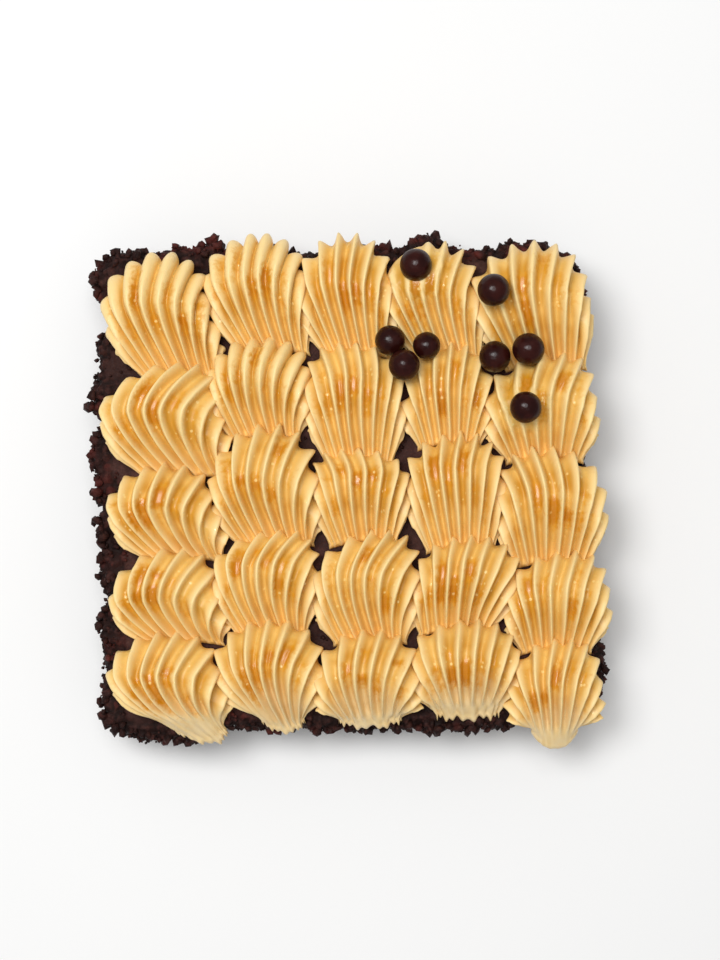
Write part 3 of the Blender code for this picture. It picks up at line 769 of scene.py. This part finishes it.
def square_outline(count, half_width, half_depth, radius):
    """Points and outward directions evenly spaced round a square with rounded corners."""
    run_x, run_y = 2 * (half_width - radius), 2 * (half_depth - radius)
    arc = radius * math.pi / 2
    centres = (
        (half_width - radius, half_depth - radius),
        (-half_width + radius, half_depth - radius),
        (-half_width + radius, -half_depth + radius),
        (half_width - radius, -half_depth + radius),
    )
    stretches = []
    for corner, (cx, cy) in enumerate(centres):
        start = corner * math.pi / 2
        stretches.append(("arc", arc, (cx, cy), start))
        stretches.append(("run", run_x if corner % 2 == 0 else run_y, (cx, cy), start + math.pi / 2))
    total = sum(length for _, length, _, _ in stretches)
    points, outward = [], []
    for k in range(count):
        along = total * k / count
        for kind, length, (cx, cy), angle in stretches:
            if along <= length:
                break
            along -= length
        if kind == "arc":
            angle += along / radius
            shift = (0.0, 0.0)
        else:
            shift = (-math.sin(angle) * along, math.cos(angle) * along)
        direction = (math.cos(angle), math.sin(angle))
        points.append((cx + radius * direction[0] + shift[0], cy + radius * direction[1] + shift[1]))
        outward.append(direction)
    return points, outward


def crag(x, y, z):
    """How far the torn crumb stands out at a place, from -1 to 1."""
    return noise.noise(Vector((x, y, z)) / CRAG_SPACING) * CRAG_GAIN


def edge_out(x, y):
    """How far the torn edge stands out of the true square at a place on it."""
    beyond = {
        "left": (-x - SLAB_WIDTH / 2, y),
        "far": (y - SLAB_DEPTH / 2, x),
        "right": (x - SLAB_WIDTH / 2, y),
        "near": (-y - SLAB_DEPTH / 2, x),
    }
    total, weights = 0.0, 0.0
    for side, (out, along) in beyond.items():
        weight = math.exp(CORNER_BLEND * out / SLAB_CORNER_RADIUS)
        marks = EDGE_MARKS[side]
        places = [place for place, _ in marks]
        total += weight * float(np.interp(along / MM, places, [far for _, far in marks]))
        weights += weight
    return total / weights * MM


def slab_base():
    """The slab's form before its crumb: flat base, uneven sides and a rim that falls away round the top."""
    outline, outward = square_outline(SLAB_COLUMNS, SLAB_WIDTH / 2, SLAB_DEPTH / 2, SLAB_CORNER_RADIUS)
    levels = [SLAB_HEIGHT * k / SLAB_LEVELS for k in range(SLAB_LEVELS - 1)]
    insets = [0.0] * len(levels) + [0.25 * RIM_INSET, RIM_INSET]
    levels += [SLAB_HEIGHT - 0.5 * RIM_DROP, SLAB_HEIGHT]
    points = []
    for z, inset in zip(levels, insets):
        for (x, y), (ox, oy) in zip(outline, outward):
            out = edge_out(x, y) + crag(x, y, z) * CRAG_DEPTH - inset
            points.append((x + ox * out, y + oy * out, z))
    faces = [tuple(reversed(range(SLAB_COLUMNS)))]
    for ring in range(len(levels) - 1):
        low, high = ring * SLAB_COLUMNS, (ring + 1) * SLAB_COLUMNS
        for k in range(SLAB_COLUMNS):
            after = (k + 1) % SLAB_COLUMNS
            faces.append((low + k, low + after, high + after, high + k))
    top = (len(levels) - 1) * SLAB_COLUMNS
    faces.append(tuple(range(top, top + SLAB_COLUMNS)))
    mesh = bpy.data.meshes.new("brownie")
    mesh.from_pydata(points, [], faces)
    return mesh


def crumb_height(point, spacing):
    """Lumps with sunk lines between them, as torn crumb has, as much below 0 as above it."""
    distances, _ = noise.voronoi(Vector(point) / spacing)
    return min(1.0, LUMP_STEEPNESS * (distances[1] - distances[0])) * LUMP_RANGE - LUMP_RANGE / 2


def even_faces(piece):
    """Gives a piece small even faces all over, so that it can take fine relief."""
    remesh = piece.modifiers.new("even_faces", "REMESH")
    remesh.mode = "VOXEL"
    remesh.voxel_size = SLAB_VOXEL
    bpy.context.view_layer.update()
    mesh = bpy.data.meshes.new_from_object(piece.evaluated_get(bpy.context.evaluated_depsgraph_get()))
    piece.modifiers.clear()
    piece.data = mesh
    mesh.name = piece.name
    return mesh


def make_slab(material):
    """The slab, its crumb torn open on the sides and rim, with a crust on top."""
    piece = link_object("brownie", slab_base(), material)
    mesh = even_faces(piece)
    points = read_vectors(mesh.vertices, "co")
    normals = read_vectors(mesh.vertex_normals, "vector")
    inset = np.minimum(SLAB_WIDTH / 2 - np.abs(points[:, 0]), SLAB_DEPTH / 2 - np.abs(points[:, 1]))
    ragged = lumps_at(points, RAGGED_BROAD, 3.0) + lumps_at(points, RAGGED_FINE, 3.0)
    on_top = eased(normals[:, 2], *FACES_UP) * eased(inset + ragged, *CRUST_FROM)
    under = eased(-normals[:, 2], *FACES_DOWN)

    coarse = np.array([crumb_height(point, TORN_COARSE.spacing) for point in points])
    middling = np.array([crumb_height(point, TORN_MIDDLING.spacing) for point in points])
    torn = TORN_COARSE.height * coarse + TORN_MIDDLING.height * middling + lumps_at(points, TORN_SOFT, 8.0)
    crust = lumps_at(points, CRUST_BROAD, 1.0) + CRUST_CRUMB * middling + lumps_at(points, CRUST_FINE, 2.0)
    height = (torn - TORN_SUNK) * (1 - on_top) + crust * on_top
    points += normals * (height * MM * (1 - under) * eased(points[:, 2], *NEAR_FLOOR))[:, None]
    points[:, 2] = np.clip(points[:, 2], 0, SLAB_HEIGHT + CRUST_HIGHEST)
    mesh.vertices.foreach_set("co", points.astype(np.float32).ravel())
    add_attribute(mesh, "crust", on_top)
    # The torn height also sets how much painted shade the crumb takes in its low lines
    add_attribute(mesh, "depth", torn)
    mesh.shade_smooth()
    mesh.update()
    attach(piece, "root")
    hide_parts("brownie_slab")


def crumb_at(work, middle, radius, draw):
    """Adds one small torn lump of crumb."""
    turn = Matrix.Rotation(draw.uniform(0, math.tau), 4, Vector([draw.gauss(0, 1) for _ in range(3)]))
    wide, deep = radius * draw.uniform(*CRUMB_SQUASH), radius * draw.uniform(*CRUMB_SQUASH)
    matrix = Matrix.Translation(middle) @ turn @ Matrix.Diagonal((wide, deep, radius, 1))
    made = bmesh.ops.create_icosphere(work, subdivisions=1, radius=1.0, matrix=matrix)
    shift = draw.uniform(0, 50)
    for vertex in made["verts"]:
        away = vertex.co - middle
        bump = noise.noise(away / radius * CRUMB_LUMPS + Vector((shift, shift, shift)))
        vertex.co = middle + away * (1 + CRUMB_BUMP * bump)


def shell_clear(x, y):
    """How far a point seen from above is from the middle of the nearest shell's head, by that head's size."""
    away = [
        math.hypot(
            (x - shell.x * MM - TOPPING_TO_RIGHT) / (shell.half_width * MM),
            (y - shell.y * MM) / (shell.reach * MM),
        )
        for row in PIPING
        for shell in row
    ]
    return min(away)


def add_rim_crumbs(work, draw):
    """Heaps crumbs along the slab's torn rim and the top of its sides."""
    low, high = CRUMB_RADII
    outline, outward = square_outline(RIM_SPOTS, SLAB_WIDTH / 2, SLAB_DEPTH / 2, SLAB_CORNER_RADIUS)
    for _ in range(RIM_CRUMBS):
        spot = draw.randrange(len(outline))
        (x, y), (ox, oy) = outline[spot], outward[spot]
        z = SLAB_HEIGHT - abs(draw.gauss(0, 1)) * CRUMB_FALL
        edge = edge_out(x, y) + crag(x, y, z) * CRAG_DEPTH
        out = edge - draw.uniform(*SIDE_CRUMBS_IN) * MM
        if z > SLAB_HEIGHT - RIM_BAND:
            out = edge - draw.uniform(*RIM_CRUMBS_IN) * MM
        radius = low + (high - low) * draw.random() ** RIM_MORE_SMALL
        middle = Vector((x + ox * out, y + oy * out, min(z, SLAB_HEIGHT - 0.4 * radius)))
        crumb_at(work, middle, radius, draw)


def add_gap_crumbs(work, draw):
    """Lays smaller crumbs on the slab in the gaps between shells."""
    low = CRUMB_RADII[0]
    placed = 0
    while placed < HOLE_CRUMBS:
        x = draw.uniform(-OUT_ON_SLAB, OUT_ON_SLAB) * SLAB_WIDTH
        y = draw.uniform(-OUT_ON_SLAB, OUT_ON_SLAB) * SLAB_DEPTH
        if shell_clear(x, y) < CLEAR_OF_SHELLS:
            continue
        radius = low + (HOLE_CRUMB_MOST - low) * draw.random() ** GAP_MORE_SMALL
        crumb_at(work, Vector((x, y, SLAB_HEIGHT + 0.2 * radius)), radius, draw)
        placed += 1


def make_crumbs(material):
    """All the loose crumbs, as one piece."""
    draw = random.Random(CRUMB_SEED)
    work = bmesh.new()
    add_rim_crumbs(work, draw)
    add_gap_crumbs(work, draw)
    mesh = bpy.data.meshes.new("brownie_crumbs")
    work.to_mesh(mesh)
    work.free()
    points = read_vectors(mesh.vertices, "co")
    add_attribute(mesh, "crust", np.zeros(len(points)))
    add_attribute(mesh, "depth", CRUMB_DEPTH + lumps_at(points, CRUMB_SHADES, 4.0))
    piece = link_object("brownie_crumbs", mesh, material)
    mesh.shade_smooth()
    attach(piece, "root")


def make_pearls(material):
    """Each pearl as a ball that is not quite true, in the place of its solid."""
    for number in range(1, PEARLS + 1):
        low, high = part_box(f"pearl_{number}")
        middle = (low + high) / 2
        radius = (high.z - low.z) / 2
        work = bmesh.new()
        bmesh.ops.create_icosphere(work, subdivisions=5, radius=radius)
        for vertex in work.verts:
            direction = vertex.co.normalized()
            dent = noise.noise(direction * DENTS_EACH_WAY + Vector((number * 3.1, 0, 0)))
            pit = noise.noise(direction * PITS_EACH_WAY + Vector((0, number * 2.3, 0)))
            share = 1 - PEARL_SHRUNK + PEARL_DENTS * dent + PEARL_PITS * pit
            vertex.co = middle + direction * radius * share
        mesh = bpy.data.meshes.new(f"chocolate_pearl_{number}")
        work.to_mesh(mesh)
        work.free()
        mesh.shade_smooth()
        piece = link_object(mesh.name, mesh, material)
        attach(piece, "root")
        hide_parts(f"pearl_{number}")


def make_floor(material):
    mesh = bpy.data.meshes.new("floor")
    corners = [(x * FLOOR_HALF, y * FLOOR_HALF, 0) for x, y in ((-1, -1), (1, -1), (1, 1), (-1, 1))]
    mesh.from_pydata(corners, [], [(0, 1, 2, 3)])
    link_object("floor", mesh, material)


def area_light(name, place, size, power):
    data = bpy.data.lights.new(name, "AREA")
    data.shape = "DISK"
    data.size = size
    data.energy = power
    light = bpy.data.objects.new(name, data)
    light.location = place
    light.rotation_euler = (Vector(LIGHTS_AIM) - Vector(place)).to_track_quat("-Z", "Y").to_euler()
    bpy.context.scene.collection.objects.link(light)


def make_lighting():
    """Bright even light from above, with a softer share of it from the left."""
    world = bpy.data.worlds.new("studio")
    world.use_nodes = True
    background = world.node_tree.nodes["Background"]
    background.inputs["Color"].default_value = (1.0, 1.0, 1.0, 1.0)
    background.inputs["Strength"].default_value = EVEN_LIGHT
    bpy.context.scene.world = world
    for light in LIGHTS:
        area_light(*light)
    bpy.context.scene.view_settings.view_transform = "Standard"


def make_camera():
    """Looks straight down, with the slab where the photograph has it."""
    data = bpy.data.cameras.new("camera")
    camera = bpy.data.objects.new("camera", data)
    bpy.context.scene.collection.objects.link(camera)
    frame_height = IMAGE_HEIGHT * METRES_PER_PIXEL
    data.sensor_fit = "VERTICAL"
    data.sensor_height = SENSOR_HEIGHT
    data.lens = data.sensor_height * (CAMERA_HEIGHT - SLAB_HEIGHT) / frame_height
    across = (IMAGE_WIDTH / 2 - SLAB_CENTRE_IN_IMAGE[0]) * METRES_PER_PIXEL
    up = (SLAB_CENTRE_IN_IMAGE[1] - IMAGE_HEIGHT / 2) * METRES_PER_PIXEL
    camera.location = (
        across * math.cos(ROLL) - up * math.sin(ROLL),
        across * math.sin(ROLL) + up * math.cos(ROLL),
        CAMERA_HEIGHT,
    )
    camera.rotation_euler = (0, 0, ROLL)
    bpy.context.scene.camera = camera


make_camera()
make_lighting()
make_floor(floor_material())
crumb = brownie_material()
make_slab(crumb)
make_crumbs(crumb)
make_shells(buttercream_material())
make_pearls(chocolate_material())
